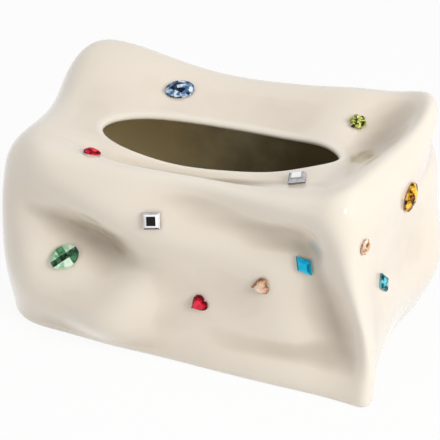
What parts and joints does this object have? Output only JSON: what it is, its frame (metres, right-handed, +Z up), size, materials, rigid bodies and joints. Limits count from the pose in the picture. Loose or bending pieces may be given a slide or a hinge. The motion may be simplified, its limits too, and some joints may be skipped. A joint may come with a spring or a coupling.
{
  "type": "tissue box cover",
  "caption": "Hand-formed glazed ceramic tissue box cover with an oval slot in its dished top, open below, with faceted glass stones cemented over its outside.",
  "frame": {"origin": "middle of the cover's box on the surface that its foot stands on", "axes": "+X along the cover, -Y to the front with the pictured stones, +Z up through the slot"},
  "size_m": [0.2981, 0.1807, 0.1638],
  "materials": {
    "glaze": "glossy cream glaze",
    "cement": "clear epoxy cement",
    "blue_glass": "cut and polished, light blue",
    "peridot_glass": "cut and polished, yellow green",
    "red_glass": "cut and polished, red",
    "clear_glass": "cut and polished, colourless, foiled back",
    "green_glass": "cut and polished, green",
    "peach_glass": "cut and polished, peach",
    "aqua_glass": "cut and polished, aqua",
    "amber_glass": "cut and polished, amber",
    "teal_glass": "cut and polished, teal"
  },
  "bodies": {
    "root": {"ceramic_body": "glaze", "blue_oval_stone": "blue_glass", "blue_oval_glue": "cement", "peridot_flower_stone": "peridot_glass", "peridot_flower_glue": "cement", "red_pear_stone": "red_glass", "red_pear_glue": "cement", "clear_square_top_stone": "clear_glass", "clear_square_top_glue": "cement", "clear_square_front_stone": "clear_glass", "clear_square_front_glue": "cement", "green_oval_stone": "green_glass", "green_oval_glue": "cement", "red_heart_stone": "red_glass", "red_heart_glue": "cement", "peach_heart_stone": "peach_glass", "peach_heart_glue": "cement", "aqua_rhombus_stone": "aqua_glass", "aqua_rhombus_glue": "cement", "amber_oval_stone": "amber_glass", "amber_oval_glue": "cement", "peach_oval_stone": "peach_glass", "peach_oval_glue": "cement", "teal_rhombus_stone": "teal_glass", "teal_rhombus_glue": "cement", "back_amber_oval_stone": "amber_glass", "back_amber_oval_glue": "cement", "back_clear_square_stone": "clear_glass", "back_clear_square_glue": "cement", "back_red_heart_stone": "red_glass", "back_red_heart_glue": "cement", "back_aqua_rhombus_stone": "aqua_glass", "back_aqua_rhombus_glue": "cement", "back_green_oval_stone": "green_glass", "back_green_oval_glue": "cement", "left_blue_oval_stone": "blue_glass", "left_blue_oval_glue": "cement", "left_peach_heart_stone": "peach_glass", "left_peach_heart_glue": "cement", "left_red_pear_stone": "red_glass", "left_red_pear_glue": "cement"}
  },
  "joints": []
}
